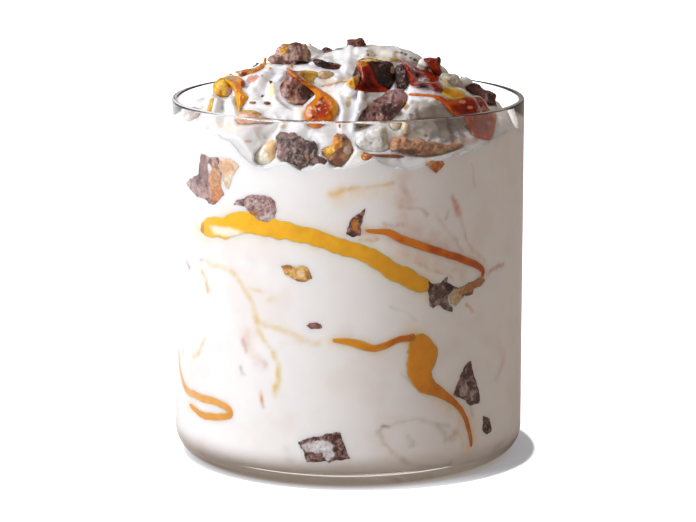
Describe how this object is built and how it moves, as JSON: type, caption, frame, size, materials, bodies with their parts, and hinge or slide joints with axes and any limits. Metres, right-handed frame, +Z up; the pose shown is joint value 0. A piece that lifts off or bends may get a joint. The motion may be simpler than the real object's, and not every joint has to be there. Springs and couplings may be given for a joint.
{
  "type": "blended ice cream dessert in a glass",
  "caption": "Blended vanilla ice cream with caramel ribbons and broken pieces of chocolate, nougat and peanut, mounded in a straight-sided glass tumbler",
  "frame": {"origin": "middle of the glass's foot, on the surface that it stands on", "axes": "+Z up, -Y towards the side that the picture shows"},
  "size_m": [0.088, 0.088, 0.1045],
  "materials": {
    "glass": "clear, smooth",
    "ice_cream": "soft, creamy, faintly moist",
    "amber_caramel": "glossy, translucent",
    "red_caramel": "glossy, thick and dark",
    "caramel_nougat": "satin, sticky",
    "nougat": "matt, porous",
    "peanut": "satin, roasted",
    "milk_chocolate": "matt, broken",
    "dark_chocolate": "satin",
    "frosted_chocolate": "matt, with a cold bloom"
  },
  "bodies": {
    "root": {"glass": "glass", "wall_chunk_left": "frosted_chocolate", "wall_nougat_left": "nougat", "wall_bean_mauve": "frosted_chocolate", "wall_shard_upper": "milk_chocolate", "wall_star_chunk": "dark_chocolate", "wall_nut_right": "peanut", "wall_nut_left": "peanut", "wall_bean_small": "dark_chocolate", "wall_chunk_bottom": "milk_chocolate", "wall_shard_right": "frosted_chocolate", "wall_chip_right": "milk_chocolate", "wall_caramel_bit": "red_caramel", "wall_back_chunk_1": "milk_chocolate", "wall_back_chunk_2": "frosted_chocolate", "wall_back_chunk_3": "dark_chocolate", "wall_back_chunk_4": "milk_chocolate", "wall_back_nut": "peanut", "ribbon_amber_upper": "amber_caramel", "ribbon_red_upper": "red_caramel", "ribbon_lower_right": "amber_caramel", "ribbon_loop_lower_left": "amber_caramel", "ribbon_back_amber": "amber_caramel", "ribbon_back_lower": "amber_caramel", "ribbon_back_loop": "amber_caramel", "chunk_peak": "milk_chocolate", "chunk_top_left": "milk_chocolate", "chunk_dark_flat": "dark_chocolate", "chunk_dark_centre": "milk_chocolate", "nut_behind_centre": "peanut", "chunk_coated": "dark_chocolate", "chunk_brown_grey": "frosted_chocolate", "chunk_mauve": "frosted_chocolate", "nougat_white": "nougat", "nut_upper": "peanut", "nut_lower": "peanut", "chunk_wide_brown": "caramel_nougat", "nut_front_left": "nougat", "chunk_front_dark": "milk_chocolate", "chunk_front_nut": "amber_caramel", "chunk_front_small": "dark_chocolate", "slab_left": "caramel_nougat", "chunk_far_left": "frosted_chocolate", "amber_left": "amber_caramel", "caramel_nub": "red_caramel", "amber_right": "amber_caramel", "chunk_dark_right": "dark_chocolate", "chunk_back_1": "milk_chocolate", "chunk_back_2": "frosted_chocolate", "chunk_back_3": "milk_chocolate", "chunk_back_4": "dark_chocolate", "chunk_back_5": "frosted_chocolate", "nut_back_1": "peanut", "nougat_back": "nougat", "amber_back": "amber_caramel", "ice_cream": "ice_cream"}
  },
  "joints": []
}
